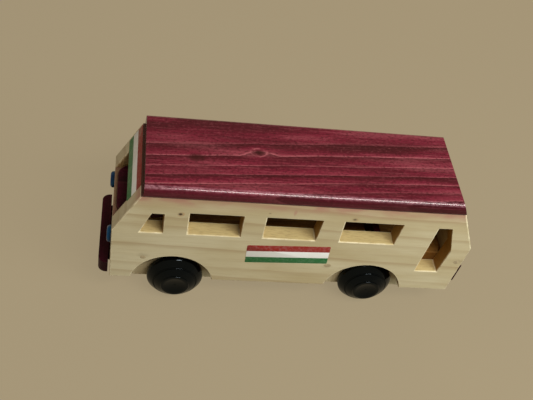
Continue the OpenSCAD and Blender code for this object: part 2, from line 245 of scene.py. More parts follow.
feed(tree, result["Tone"], sum_of(tree, "MULTIPLY_ADD", swing, 0.5, 0.5))
feed(tree, result["Fibre"], cloudy(tree, place, FIBRE_CLOUDS, 4.0, 0.62))
feed(tree, result["Patch"], cloudy(tree, place, PATCH_CLOUDS, 3.0, 0.5))
print("timber_figure has", len(tree.nodes), "nodes")

# %% [markdown]
# Where a branch left the trunk, a board has a knot: a dark heart, a pale rim, and rings that swerve round
# it. The group measures the distance from the knot's centre, with its own scale along each axis, so one
# group can draw a round pin knot, a long eye or a smear. Clouds make the outline ragged and break the rim.
# A filled spot is drawn by the same group: it has a colour of its own and no rim.

# %% group: a knot
RAGGED_CLOUDS = (420, 420, 420)
RIM_CLOUDS = (210, 210, 210)
Knot = namedtuple("Knot", "centre across size heart rim")
Spot = namedtuple("Spot", "centre across size share colour")

knot_figure, given, result = start_group(
    "knot_figure",
    (("Place", "Vector"), ("Centre", "Vector"), ("Across", "Vector"), ("Size", "Float")),
    ("Core", "Rim", "Push"))
tree = knot_figure
from_centre = vector_sum(tree, "SUBTRACT", given["Place"], given["Centre"])
away = vector_sum(tree, "LENGTH", vector_sum(tree, "MULTIPLY", from_centre, given["Across"]))
ragged = sum_of(tree, "SUBTRACT", cloudy(tree, given["Place"], RAGGED_CLOUDS, 2.0), 0.5)
distance = sum_of(tree, "DIVIDE", away, given["Size"])
distance = sum_of(tree, "MULTIPLY_ADD", ragged, 0.55, distance)
feed(tree, result["Core"], stretch(tree, distance, 0.15, 0.9, 1.0, 0.0))
rim_start = stretch(tree, distance, 0.68, 0.84)
rim_end = stretch(tree, distance, 0.88, 1.06, 1.0, 0.0)
broken = stretch(tree, cloudy(tree, given["Place"], RIM_CLOUDS, 1.0), 0.42, 0.6, 0.2, 1.0)
rim = sum_of(tree, "MULTIPLY", rim_start, rim_end)
feed(tree, result["Rim"], sum_of(tree, "MULTIPLY", rim, broken))
swerve = stretch(tree, distance, 0.3, 2.6, 0.9, 0.0)
feed(tree, result["Push"], sum_of(tree, "MULTIPLY", swerve, given["Size"]))
print("knot_figure has", len(tree.nodes), "nodes")


def draw_knot(tree, place, knot):
    """The knot group at the place and of the size of a knot or a spot."""
    return use_group(tree, knot_figure, Place=place, Centre=knot.centre, Across=knot.across, Size=knot.size)


# %% [markdown]
# A toy that is played with is never evenly clean. Finger smudges change how glossy a patch is, and specks
# of dust sit in the finish. On the boards, the eased edges are painted pale: partly worn, and partly a
# painted glint where they catch the light. Those faces carry an attribute of their own, eased, which the
# edge group breaks up with clouds.

# %% groups: handling marks, and worn and glinting edges
SMUDGE_CLOUDS = (52, 70, 70)
SPECK_CLOUDS = (760, 760, 760)
WEAR_CLOUDS = (110, 150, 150)

handling_marks, given, result = start_group("handling_marks", (("Place", "Vector"),), ("Smudge", "Speck"))
tree = handling_marks
smudges = cloudy(tree, given["Place"], SMUDGE_CLOUDS, 4.0, 0.6)
feed(tree, result["Smudge"], stretch(tree, smudges, 0.35, 0.68))
specks = cloudy(tree, given["Place"], SPECK_CLOUDS, 2.0, 0.6)
feed(tree, result["Speck"], stretch(tree, specks, 0.66, 0.76))

edge_wear_and_glint, given, result = start_group("edge_wear_and_glint", (("Place", "Vector"),), ("Wear",))
tree = edge_wear_and_glint
on_edge = add_node(tree, "ShaderNodeAttribute", attribute_name="eased").outputs["Fac"]
patchy = stretch(tree, cloudy(tree, given["Place"], WEAR_CLOUDS, 4.0, 0.65), 0.36, 0.62, 0.12, 1.0)
feed(tree, result["Wear"], sum_of(tree, "MULTIPLY", on_edge, patchy))
print("groups so far:", ", ".join(group.name for group in bpy.data.node_groups))

# %% [markdown]
# Every finish starts in the same way: a material with one Principled shader, and the surface's own place in
# metres. The place is turned before it reaches the figure, because a board's grain runs along its length,
# and some boards lie across the bus.

# %% helpers for materials
LENGTHWISE = (0.0, 0.0, 0.0)
CROSSWISE = (0.0, 0.0, math.radians(90))


def new_finish(name, **settings):
    """A material with its Principled shader, whose named sockets are set to plain numbers."""
    material = bpy.data.materials.new(name)
    material.use_nodes = True
    shader = material.node_tree.nodes["Principled BSDF"]
    for title, value in settings.items():
        shader.inputs[title.replace("_", " ")].default_value = value
    return material, material.node_tree, shader.inputs


def turned_place(tree, turn):
    """The surface's place in metres, turned so that the grain runs along x."""
    mapping = add_node(tree, "ShaderNodeMapping")
    mapping.inputs["Rotation"].default_value = turn
    feed(tree, mapping.inputs["Vector"], add_node(tree, "ShaderNodeTexCoord").outputs["Object"])
    return mapping.outputs["Vector"]


def bumped(tree, height, strength, depth):
    """A normal raised and lowered by a height."""
    bump = add_node(tree, "ShaderNodeBump")
    bump.inputs["Strength"].default_value = strength
    bump.inputs["Distance"].default_value = depth
    feed(tree, bump.inputs["Height"], height)
    return bump.outputs["Normal"]


def facing_of(tree):
    """The x, y and z of the direction that the surface faces."""
    return axes_of(tree, add_node(tree, "ShaderNodeTexCoord").outputs["Normal"])


print("material helpers ready")

# %% [markdown]
# The boards are pale pine under one thin coat of clear varnish. Spring wood is wide and creamy and summer
# wood is a narrow tan line, so the ring phase runs slowly up and drops at once. Sawn faces, like the window
# sills and the arches, are rough, drink more varnish and go golden, and end grain goes brown: the surface
# normal says which faces they are. The side boards' sloping end edges were planed after sawing, so they
# stay pale. Under the roof and the dash a dark band is painted over the top edge, stain brushed over it and
# painted shadow together, and below it stain and painted shade creep down a little. The side boards also
# have pin knots and filled spots, and on the cabin's side they are painted a darker brown, as painted shade
# inside the cabin.

# %% finish: pine
PINE_CREAM = paint(184, 172, 140)
PINE_TAN = paint(168, 152, 116)
PINE_LINE = paint(138, 112, 78)
PINE_SAWN = paint(184, 163, 113)
PINE_END_GRAIN = paint(152, 112, 52)
PINE_CABIN_SHADE = paint(132, 98, 48)
PINE_PORE = paint(100, 72, 34)
PINE_EDGE_WORN_AND_LIT = paint(214, 202, 168)
PINE_FIBRE = paint(146, 124, 90)
KNOT_HEART = paint(56, 32, 17)
KNOT_RIM = paint(166, 130, 88)
# STAIN_CREEP is also the colour of the band of painted shade under the overhang.
STAIN_CREEP = paint(158, 112, 96)
STAIN_OVER_AND_SHADOW = paint(66, 28, 30)
FILLER_GREY = paint(138, 124, 98)
PINE_PORE_CLOUDS = (170, 1300, 1300)
CREEP_CLOUDS = (60, 60, 130)
PINE_WANDER = 7 * MM
PLANED_STEP = 0.3 * MM


def sawn_faces(tree, facing, lengthwise, axes, span):
    """One on faces that point along the named axes, within a span lengthwise, and zero elsewhere."""
    rough = 0.0
    for axis in axes:
        rough = sum_of(tree, "MAXIMUM", rough, sum_of(tree, "ABSOLUTE", facing[axis]))
    back, front = span
    ahead_of_back = stretch(tree, lengthwise, back - PLANED_STEP, back + PLANED_STEP)
    behind_front = stretch(tree, lengthwise, front - PLANED_STEP, front + PLANED_STEP, 1.0, 0.0)
    unplaned = sum_of(tree, "MULTIPLY", ahead_of_back, behind_front)
    return sum_of(tree, "MULTIPLY", stretch(tree, rough, 0.6, 0.75), unplaned)


def pine_finish(name, turn, pith, lean, spacing, strong, sawn, sawn_span, wear=0.65, knots=(), spots=(),
                stain_line=None, creep=11 * MM, smear=0.9, inside=None):
    """Pale varnished pine with its own rings, knots, filled spots and, if asked, stain creeping from above.

    The axes named in sawn are those that the rough sawn faces point along. Outside sawn_span along x all is
    planed. At the height stain_line a dark band, as strong as smear, is painted over the edge: stain
    brushed over it and painted shadow under the board above. Below it, stain mixed with painted shade from
    that board has crept down as far as creep. Faces no further than inside from the middle of the bus are
    the cabin's, painted a darker brown as painted shade.
    """
    material, tree, shader = new_finish(name, Coat_Weight=0.06, Coat_Roughness=0.3, Specular_IOR_Level=0.25)
    place = turned_place(tree, turn)
    own_place = turned_place(tree, LENGTHWISE)
    where = axes_of(tree, own_place)
    facing = facing_of(tree)
    figures = [draw_knot(tree, own_place, knot) for knot in knots]
    push = 0.0
    for figure in figures:
        push = sum_of(tree, "ADD", push, figure["Push"])
    wood = use_group(tree, timber_figure, Place=place, Pith=pith, Lean=lean, Spacing=spacing,
                     Wander=PINE_WANDER, Strong=strong, Push=push)
    colour = blend_colours(tree, stretch(tree, wood["Patch"], 0.3, 0.7), PINE_CREAM, PINE_TAN)
    summer = sum_of(tree, "MULTIPLY", stretch(tree, wood["Phase"], 0.45, 0.93),
                    stretch(tree, wood["Phase"], 0.95, 1.0, 1.0, 0.0))
    line = sum_of(tree, "MULTIPLY", summer, stretch(tree, wood["Tone"], 0.1, 1.0, 0.04, 0.42))
    colour = blend_colours(tree, line, colour, PINE_LINE)
    colour = blend_colours(tree, stretch(tree, wood["Fibre"], 0.45, 0.75, 0.0, 0.22), colour, PINE_FIBRE)
    for figure, knot in zip(figures, knots):
        colour = blend_colours(tree, sum_of(tree, "MULTIPLY", figure["Rim"], knot.rim), colour, KNOT_RIM)
        heart = sum_of(tree, "MULTIPLY", figure["Core"], knot.heart)
        colour = blend_colours(tree, heart, colour, KNOT_HEART)
    for spot in spots:
        filled = sum_of(tree, "MULTIPLY", draw_knot(tree, own_place, spot)["Core"], spot.share)
        colour = blend_colours(tree, filled, colour, spot.colour)
    rough = sawn_faces(tree, facing, where["X"], sawn, sawn_span)
    pores = stretch(tree, cloudy(tree, own_place, PINE_PORE_CLOUDS, 2.0, 0.6), 0.46, 0.66, 0.0, 0.26)
    endwise = stretch(tree, sum_of(tree, "ABSOLUTE", facing["X"]), 0.55, 0.75)
    sawn_colour = blend_colours(tree, endwise, PINE_SAWN, PINE_END_GRAIN)
    sawn_colour = blend_colours(tree, pores, sawn_colour, PINE_PORE)
    colour = blend_colours(tree, rough, colour, sawn_colour)
    if inside:
        # Faces on the cabin's side are painted a darker brown: painted shade inside the cabin.
        sideways = sum_of(tree, "ABSOLUTE", where["Y"])
        cabin_shade = stretch(tree, sideways, inside + 0.2 * MM, inside + 0.8 * MM, 0.8, 0.0)
        colour = blend_colours(tree, cabin_shade, colour, PINE_CABIN_SHADE)
    if stain_line:
        # Stain creeps down below the stain line in patches, and this band also paints the shade under the
        # board above.
        creep_and_shade = stretch(tree, where["Z"], stain_line - creep, stain_line)
        patches = stretch(tree, cloudy(tree, own_place, CREEP_CLOUDS, 3.0), 0.4, 0.68, 0.3, 0.85)
        colour = blend_colours(tree, sum_of(tree, "MULTIPLY", creep_and_shade, patches), colour, STAIN_CREEP)
    # The eased edges are painted pale: worn, and a painted glint where they catch the light.
    worn = use_group(tree, edge_wear_and_glint, Place=own_place)
    colour = blend_colours(tree, sum_of(tree, "MULTIPLY", worn["Wear"], wear), colour, PINE_EDGE_WORN_AND_LIT)
    if stain_line:
        # A thin dark band just under the stain line: stain brushed over the edge, and painted shadow under
        # the board above.
        brushed = stretch(tree, where["Z"], stain_line - 0.5 * MM, stain_line - 0.2 * MM, 0.0, smear)
        colour = blend_colours(tree, brushed, colour, STAIN_OVER_AND_SHADOW)
    feed(tree, shader["Base Color"], colour)
    marks = use_group(tree, handling_marks, Place=own_place)
    feed(tree, shader["Roughness"], stretch(tree, marks["Smudge"], 0.0, 1.0, 0.46, 0.62))
    torn = sum_of(tree, "MULTIPLY", sum_of(tree, "MULTIPLY", pores, rough), -2.5)
    grain = sum_of(tree, "ADD", torn, sum_of(tree, "MULTIPLY_ADD", summer, 0.6, wood["Fibre"]))
    feed(tree, shader["Normal"], bumped(tree, grain, 0.25, 0.25 * MM))
    return material


print("pine colours and recipe ready")

# %% [markdown]
# Each group of boards was cut from a different place in the tree, so each gets its own pith. The side
# boards show one strong line that runs along under the windows. A pin knot is small and round; its scale
# across the board's thickness is low, so it shows on both faces but not on the other side board. A drip of
# the roof's stain has run down over one window. The front panel is cut like the other cross boards, but the
# stain and painted shadow at its top come from the dash above it.

# %% the pine boards' finishes
side_low, side_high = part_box("left_wall")
side_face = side_high.y
PIN_KNOT = (0.75, 0.15, 1.0)
FILLED_NAIL = (0.6, 0.15, 1.0)
STAIN_DRIP = (1.0, 0.15, 0.35)
PLANED_TAIL = 13.8 * MM
PLANED_NOSE = 17.7 * MM


def on_side(back, up):
    """A place on the left side board's face, in millimetres behind its front and above its bottom edge."""
    return (side_high.x - back * MM, side_face, side_low.z + up * MM)


side_knots = (
    Knot(on_side(43.7, 67.0), PIN_KNOT, 2.0 * MM, heart=0.95, rim=0.95),
    Knot(on_side(159.6, 70.9), PIN_KNOT, 1.7 * MM, heart=0.75, rim=0.75),
    Knot(on_side(101.7, 72.4), PIN_KNOT, 1.1 * MM, heart=0.45, rim=0.45),
)
side_spots = (
    Spot(on_side(22.0, 24.1), FILLED_NAIL, 3.8 * MM, share=0.35, colour=FILLER_GREY),
    Spot(on_side(150.9, 21.0), FILLED_NAIL, 3.6 * MM, share=0.35, colour=FILLER_GREY),
    Spot(on_side(245.2, 32.9), FILLED_NAIL, 3.8 * MM, share=0.35, colour=FILLER_GREY),
    Spot(on_side(118.3, 74.5), STAIN_DRIP, 1.7 * MM, share=0.6, colour=STAIN_CREEP),
)
whole_length = (side_low.x, side_high.x)
between_slopes = (side_low.x + PLANED_TAIL, side_high.x - PLANED_NOSE)
pine_sides = pine_finish(
    "pine_side_boards", LENGTHWISE, pith=(0.0, 12 * MM, -42 * MM), lean=(0.0, 0.0, 0.045),
    spacing=9.2 * MM, strong=10.0, sawn="XZ", sawn_span=between_slopes, knots=side_knots, spots=side_spots,
    stain_line=side_high.z, inside=side_low.y)
pine_long = pine_finish(
    "pine_long_boards", LENGTHWISE, pith=(0.0, -30 * MM, 10 * MM), lean=(0.0, 0.03, 0.02),
    spacing=6 * MM, strong=4.0, sawn="X", sawn_span=whole_length)
cross_timber = {
    "turn": CROSSWISE, "pith": (0.0, -60 * MM, 20 * MM), "lean": (0.0, 0.02, 0.05), "spacing": 5 * MM,
    "strong": 6.0, "sawn": "YZ", "sawn_span": whole_length, "wear": 0.3}
pine_cross = pine_finish("pine_cross_boards", stain_line=side_high.z, **cross_timber)
panel_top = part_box("front_panel")[1].z
pine_panel = pine_finish(
    "pine_front_panel", stain_line=panel_top, creep=1.5 * MM, smear=0.6, **cross_timber)
print("pine finishes:", pine_sides.name, pine_long.name, pine_cross.name, pine_panel.name)

# %% [markdown]
# The roof and the trim are the same timber, stained dark red and varnished until they shine. Stain turns
# the figure round: soft spring wood drinks it and goes dark, hard summer wood stays a thin pink line. A
# colour ramp over the ring phase gives the slow change from dark to pink, and clouds, fibres and pores
# mottle it. Faces that look to the sides are painted darker, as painted shade, and the rounded edges are
# painted pale: rubbed, and a painted sheen along the bright streak. The small boards are stained darker,
# which also paints the shade they sit in under the roof and the body, and the floor inside is drawn the
# same way in a brown darker than the pine, as painted shade for the cabin. So the colours come as a set.

# %% finish: stained timber
RED_STAIN = {
    "deep": paint(48, 0, 11), "dark": paint(70, 3, 22), "mid": paint(102, 15, 40),
    "warm": paint(120, 32, 53), "line": paint(158, 85, 92), "worn": paint(180, 136, 144),
    "knot": paint(44, 0, 6), "end": paint(34, 8, 12)}
# The small boards' set is darker: darker stain, and painted shade for the dash under the roof and the
# bumpers under the body.
DARK_STAIN_AND_SHADE = {
    "deep": paint(34, 3, 13), "dark": paint(44, 5, 18), "mid": paint(57, 8, 25),
    "warm": paint(65, 12, 29), "line": paint(72, 28, 34), "worn": paint(112, 64, 62),
    "knot": paint(24, 4, 7), "end": paint(38, 8, 14)}
# The floor's set is brown and darker than the pine: painted shade for the inside of the cabin.
BROWN_FLOOR_SHADE = {
    "deep": paint(104, 68, 28), "dark": paint(116, 78, 34), "mid": paint(130, 90, 42),
    "warm": paint(140, 100, 50), "line": paint(154, 116, 62), "worn": paint(146, 108, 58),
    "knot": paint(60, 34, 12), "end": paint(98, 64, 28)}
UNEVEN_CLOUDS = (9, 60, 60)
STAIN_PORE_CLOUDS = (420, 620, 620)
STAINED_WANDER = 5 * MM


def stain_finish(name, stain, turn, pith, lean, spacing, strong, knots=(), wear=0.7, gloss=0.04):
    """Timber under a set of stain colours and varnish of a given gloss."""
    material, tree, shader = new_finish(
        name, Coat_Weight=gloss, Coat_Roughness=0.11, Specular_IOR_Level=0.08)
    place = turned_place(tree, turn)
    own_place = turned_place(tree, LENGTHWISE)
    facing = facing_of(tree)
    figures = [draw_knot(tree, own_place, knot) for knot in knots]
    push = 0.0
    for figure, knot in zip(figures, knots):
        push = sum_of(tree, "MULTIPLY_ADD", figure["Push"], knot.rim, push)
    wood = use_group(tree, timber_figure, Place=place, Pith=pith, Lean=lean, Spacing=spacing,
                     Wander=STAINED_WANDER, Strong=strong, Push=push)
    colour = colour_steps(tree, wood["Phase"], (
        (0.0, stain["deep"]), (0.2, stain["dark"]), (0.5, stain["mid"]), (0.86, stain["warm"]),
        (0.94, stain["line"]), (0.98, stain["line"]), (1.0, stain["deep"])))
    uneven = cloudy(tree, place, UNEVEN_CLOUDS, 3.0, 0.55)
    pores = cloudy(tree, own_place, STAIN_PORE_CLOUDS, 3.0, 0.7)
    mottle = (
        (stretch(tree, wood["Tone"], 0.0, 1.0, 0.55, 0.0), "mid"),
        (stretch(tree, wood["Patch"], 0.35, 0.7, 0.0, 0.45), "dark"),
        (stretch(tree, uneven, 0.48, 0.66, 0.0, 0.65), "deep"),
        (stretch(tree, uneven, 0.32, 0.5, 0.28, 0.0), "line"),
        (stretch(tree, wood["Fibre"], 0.5, 0.7, 0.0, 0.5), "deep"),
        (stretch(tree, wood["Fibre"], 0.3, 0.46, 0.28, 0.0), "line"),
        (stretch(tree, pores, 0.5, 0.66, 0.0, 0.6), "deep"),
        (stretch(tree, pores, 0.32, 0.46, 0.16, 0.0), "line"))
    for share, shade in mottle:
        colour = blend_colours(tree, share, colour, stain[shade])
    for figure, knot in zip(figures, knots):
        rim = sum_of(tree, "MULTIPLY", figure["Rim"], knot.rim)
        colour = blend_colours(tree, rim, colour, stain["line"])
        heart = sum_of(tree, "MULTIPLY", figure["Core"], knot.heart)
        colour = blend_colours(tree, heart, colour, stain["knot"])
    along_grain = {LENGTHWISE: "X", CROSSWISE: "Y"}[turn]
    end_grain = sum_of(tree, "ABSOLUTE", facing[along_grain])
    colour = blend_colours(tree, stretch(tree, end_grain, 0.5, 1.0, 0.0, 0.85), colour, stain["end"])
    sideways = sum_of(tree, "ABSOLUTE", facing["Y"])
    # Faces that look to the sides are painted darker: painted shade.
    colour = blend_colours(tree, stretch(tree, sideways, 0.55, 0.95, 0.0, 0.6), colour, stain["deep"])
    # The rounded long edges are painted pale: rubbed, and a painted sheen along the bright streak.
    rounding_rub_and_sheen = sum_of(tree, "MULTIPLY", stretch(tree, sideways, 0.2, 0.45),
                         stretch(tree, facing["Z"], 0.5, 0.75))
    rubbed = sum_of(tree, "MULTIPLY", rounding_rub_and_sheen, stretch(tree, pores, 0.38, 0.6, 0.36, 0.1))
    colour = blend_colours(tree, rubbed, colour, stain["worn"])
    # The eased edges are painted pale: worn, and a painted glint where they catch the light.
    worn = use_group(tree, edge_wear_and_glint, Place=own_place)
    colour = blend_colours(tree, sum_of(tree, "MULTIPLY", worn["Wear"], wear), colour, stain["worn"])
    feed(tree, shader["Base Color"], colour)
    marks = use_group(tree, handling_marks, Place=own_place)
    feed(tree, shader["Roughness"], stretch(tree, marks["Smudge"], 0.0, 1.0, 0.4, 0.5))
    grain = sum_of(tree, "ADD", pores, sum_of(tree, "MULTIPLY_ADD", wood["Phase"], 0.35, wood["Fibre"]))
    feed(tree, shader["Normal"], bumped(tree, grain, 0.3, 0.3 * MM))
    return material


print("stain colours and recipe ready")

# %% [markdown]
# The roof's rings are read from a pith below its far side, and they lean, so the lines drift across the
# board. The roof has an eye knot with a pale rim, and a dark smudge in front of it. The trim and the floor
# have piths of their own, and less gloss.

# %% the stained boards' finishes
roof_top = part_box("roof")[1].z
EYE_KNOT = (0.7, 1.0, 0.1)
SMUDGE = (0.6, 1.0, 0.1)
roof_knots = (
    Knot((side_high.x - 94.1 * MM, -3.4 * MM, roof_top), EYE_KNOT, 4.4 * MM, heart=0.95, rim=0.7),
    Knot((side_high.x - 52.2 * MM, 5.2 * MM, roof_top), SMUDGE, 6.0 * MM, heart=0.85, rim=0.0),
)
stained_roof = stain_finish(
    "stained_roof", RED_STAIN, LENGTHWISE, pith=(0.0, -27.7 * MM, 89.3 * MM), lean=(0.0, 0.075, 0.0),
    spacing=7.2 * MM, strong=7.0, knots=roof_knots, gloss=0.55)
stained_long = stain_finish(
    "stained_long_boards", DARK_STAIN_AND_SHADE, LENGTHWISE, pith=(0.0, 5 * MM, 40 * MM), lean=(0.0, 0.02, 0.03),
    spacing=6 * MM, strong=3.0, wear=0.15)
stained_cross = stain_finish(
    "stained_cross_boards", DARK_STAIN_AND_SHADE, CROSSWISE, pith=(0.0, -110 * MM, -20 * MM), lean=(0.0, 0.02, 0.04),
    spacing=6 * MM, strong=5.0, wear=0.1)
floor_painted_shade = stain_finish(
    "floor_painted_shade", BROWN_FLOOR_SHADE, LENGTHWISE, pith=(0.0, -20 * MM, 15 * MM), lean=(0.0, 0.02, 0.02),
    spacing=6 * MM, strong=2.0, wear=0.3)
print("stain finishes:", stained_roof.name, stained_long.name, stained_cross.name, floor_painted_shade.name)

# %% [markdown]
# The wheels were turned on a lathe and dipped in black lacquer. A lathe leaves fine rings round the axle,
# so the pattern is the distance from the axle line, and each pair of wheels gets its own centre. Specks of
# dust and finger marks vary the colour and the gloss a little.

# %% finish: black lacquer
LACQUER_BLACK = paint(2, 3, 4)
LACQUER_DUST = paint(18, 20, 20)
LACQUER_SHEEN = (0.7, 0.86, 1.0, 1.0)
AWAY_FROM_AXLE = (1.0, 0.0, 1.0)
LATHE_RINGS_PER_METRE = 1500.0


def lacquer_finish(name, axle):
    """Black lacquer over turned wood, with lathe rings round an axle along y."""
    material, tree, shader = new_finish(name, Specular_IOR_Level=0.2, Specular_Tint=LACQUER_SHEEN)
    place = turned_place(tree, LENGTHWISE)
    flat = vector_sum(tree, "MULTIPLY", vector_sum(tree, "SUBTRACT", place, axle), AWAY_FROM_AXLE)
    rings = add_node(tree, "ShaderNodeTexNoise", noise_dimensions="1D")
    feed(tree, rings.inputs["W"], vector_sum(tree, "LENGTH", flat))
    rings.inputs["Scale"].default_value = LATHE_RINGS_PER_METRE
    rings.inputs["Detail"].default_value = 3.0
    marks = use_group(tree, handling_marks, Place=place)
    dusty = sum_of(tree, "MULTIPLY", marks["Speck"], 0.5)
    colour = blend_colours(tree, dusty, LACQUER_BLACK, LACQUER_DUST)
    feed(tree, shader["Base Color"], colour)
    feed(tree, shader["Roughness"], stretch(tree, marks["Smudge"], 0.0, 1.0, 0.04, 0.09))
    feed(tree, shader["Normal"], bumped(tree, rings.outputs["Fac"], 0.06, 0.1 * MM))
    return material


axle_places = {joint["name"].split("_")[0]: joint["pos_m"] for joint in frame["joints"]}
lacquers = {end: lacquer_finish("black_lacquer_" + end, place) for end, place in axle_places.items()}
print("lacquer centred on", axle_places)

# %% [markdown]
# The axles, washers and nails are bright steel wire and sheet, brushed along by the drawing die and a
# little dull with age. The headlights are shiny dark blue buttons.

# %% finishes: steel and blue lamp
STEEL_BRIGHT = paint(186, 186, 188)
STEEL_DULL = paint(128, 124, 118)
LAMP_BLUE = paint(3, 46, 88)
LAMP_PALE = paint(8, 92, 134)
DRAWN_CLOUDS = (2200, 60, 2200)
LAMP_CLOUDS = (180, 180, 180)

steel, tree, shader = new_finish("drawn_steel", Metallic=1.0)
place = turned_place(tree, LENGTHWISE)
marks = use_group(tree, handling_marks, Place=place)
feed(tree, shader["Base Color"], blend_colours(tree, marks["Smudge"], STEEL_BRIGHT, STEEL_DULL))
drawn = cloudy(tree, place, DRAWN_CLOUDS, 2.0)
feed(tree, shader["Roughness"], stretch(tree, drawn, 0.3, 0.7, 0.25, 0.45))
feed(tree, shader["Normal"], bumped(tree, drawn, 0.15, 0.05 * MM))

lamp_blue, tree, shader = new_finish(
    "lamp_blue", Coat_Weight=0.04, Coat_Roughness=0.06, Specular_IOR_Level=0.18)
place = turned_place(tree, LENGTHWISE)
marks = use_group(tree, handling_marks, Place=place)
cast = stretch(tree, cloudy(tree, place, LAMP_CLOUDS, 3.0), 0.35, 0.7, 0.0, 0.6)
feed(tree, shader["Base Color"], blend_colours(tree, cast, LAMP_BLUE, LAMP_PALE))
feed(tree, shader["Roughness"], stretch(tree, marks["Smudge"], 0.0, 1.0, 0.14, 0.28))
print("steel and lamp finishes made")

# %% [markdown]
# A saw leaves sharp edges, and a toy can't have them. Every board's sharp edges are planed off with a small
# bevel: it catches the light along window sills and arches, which a sharp edge never does. The board is a
# copy of its solid: the loose triangles are merged, the flat ones dissolved into whole faces, and the edges
# that turn by more than a set angle are bevelled. Short edges round the nail holes are left alone. The
# bevel puts its faces in a second material slot, which tells them apart: they are remembered in the
# attribute eased, for the pale worn and glinting edges, and the slot goes again.

# %% ease the edges of the wooden boards
FLAT_TURN = math.radians(1)
SHARP_TURN = math.radians(35)
SHORTEST_EDGE = 0.6 * MM
MERGE_WITHIN = 0.01 * MM
EASE_STEPS = 3
EASED_FACE = 1


def eased_board(node, ease, material):
    """Stands a board with planed edges in the place of its solid."""
    board = bpy.data.objects.new(node + "_eased", frame["nodes"][node].data.copy())
    bpy.context.scene.collection.objects.link(board)
    # The first slot is for the board's own faces, the second for the eased ones.
    board.data.materials.clear()
    board.data.materials.append(material)
    board.data.materials.append(material)
    pick(board)
    bpy.ops.object.mode_set(mode="EDIT")
    bpy.ops.mesh.select_mode(type="EDGE")
    bpy.ops.mesh.select_all(action="SELECT")
    bpy.ops.mesh.customdata_custom_splitnormals_clear()
    bpy.ops.mesh.remove_doubles(threshold=MERGE_WITHIN)
    bpy.ops.mesh.dissolve_limited(angle_limit=FLAT_TURN)
    bpy.ops.mesh.select_all(action="DESELECT")
    bpy.ops.mesh.edges_select_sharp(sharpness=SHARP_TURN)
    shape = bmesh.from_edit_mesh(board.data)
    for edge in shape.edges:
        if edge.select and edge.calc_length() < SHORTEST_EDGE:
            edge.select_set(False)
    bmesh.update_edit_mesh(board.data)
    bpy.ops.mesh.bevel(offset=ease, segments=EASE_STEPS, affect="EDGES", clamp_overlap=True,
                       material=EASED_FACE)
    bpy.ops.object.mode_set(mode="OBJECT")
    planed = [float(face.material_index == EASED_FACE) for face in board.data.polygons]
    board.data.attributes.new("eased", "FLOAT", "FACE").data.foreach_set("value", planed)
    board.data.materials.pop(index=EASED_FACE)
    bpy.ops.object.shade_smooth_by_angle(angle=SHARP_TURN)
    bpy.ops.object.modifier_add(type="WEIGHTED_NORMAL")
    board.modifiers[-1].keep_sharp = True
    bpy.ops.object.modifier_apply(modifier=board.modifiers[-1].name)
    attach(board, "body")
    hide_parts(node)
    print(board.name, "has", len(board.data.polygons), "faces,", int(sum(planed)), "of them planed")


boards = (
    (("left_wall", "right_wall"), 0.8 * MM, pine_sides, "pine"),
    (("front_axle_block", "rear_axle_block"), 0.6 * MM, pine_long, "pine"),
    (("front_panel",), 0.4 * MM, pine_panel, "pine"),
    (("rear_panel", "windscreen_header", "rear_header"), 0.4 * MM, pine_cross, "pine"),
    (("floor_board",), 0.6 * MM, floor_painted_shade, "pine"),
    (("roof",), 0.4 * MM, stained_roof, "maroon_stain"),
    (("dash_board", "cross_board"), 0.5 * MM, stained_long, "maroon_stain"),
    (("front_bumper", "bumper_packing", "rear_bumper"), 0.7 * MM, stained_cross, "maroon_stain"),
)
for nodes, ease, material, slot in boards:
    for node in nodes:
        eased_board(node, ease, material)

# %% [markdown]
# The turned wheels, the axles, washers, nails and lamps already have their right shape in the solids, so
# they stay, and only take their finish.

# %% finishes on the solids that stay


def give_finish(node, material):
    """Puts a material in the first slot of a solid that stays."""
    mesh = frame["nodes"][node].data
    mesh.materials.clear()
    mesh.materials.append(material)


for end, lacquer in lacquers.items():
    for side in ("left", "right"):
        give_finish(f"{end}_{side}_wheel", lacquer)
    give_finish(end + "_axle", steel)
    give_finish(end + "_washers", steel)
for side in ("left", "right"):
    give_finish(side + "_nails", steel)
    give_finish(side + "_headlight", lamp_blue)
print("wheels, axles, washers, nails and lamps finished")

# %% [markdown]
# Two paper labels with plain red, white and green stripes are stuck on: one on the left side, one on the
# board over the windscreen. Each point of a label keeps its height on the paper, from 0 at the foot to 1 at
# the top, in the attribute level, so the stripes turn with the paper. The print is a little uneven and the
# paper a little yellow.

# %% finish: striped label
LABEL_RED = paint(124, 30, 26)
LABEL_WHITE = paint(214, 212, 206)
LABEL_GREEN = paint(12, 92, 44)
LABEL_AGED = paint(196, 184, 160)
GREEN_TOP, RED_FOOT = 0.33, 0.67
PRINT_EDGE = 0.008
PRINT_CLOUDS = (700, 700, 700)
PAPER_CLOUDS = (900, 900, 900)

label_print, tree, shader = new_finish(
    "label_print", Coat_Weight=0.05, Coat_Roughness=0.2, Specular_IOR_Level=0.3)
place = turned_place(tree, LENGTHWISE)
level = add_node(tree, "ShaderNodeAttribute", attribute_name="level").outputs["Fac"]
marks = use_group(tree, handling_marks, Place=place)
white = blend_colours(tree, sum_of(tree, "MULTIPLY", marks["Smudge"], 0.35), LABEL_WHITE, LABEL_AGED)
green_share = stretch(tree, level, GREEN_TOP - PRINT_EDGE, GREEN_TOP + PRINT_EDGE, 1.0, 0.0)
red_share = stretch(tree, level, RED_FOOT - PRINT_EDGE, RED_FOOT + PRINT_EDGE)
uneven = stretch(tree, cloudy(tree, place, PRINT_CLOUDS, 3.0), 0.3, 0.6, 0.93, 1.0)
colour = blend_colours(tree, sum_of(tree, "MULTIPLY", green_share, uneven), white, LABEL_GREEN)
colour = blend_colours(tree, sum_of(tree, "MULTIPLY", red_share, uneven), colour, LABEL_RED)
feed(tree, shader["Base Color"], colour)
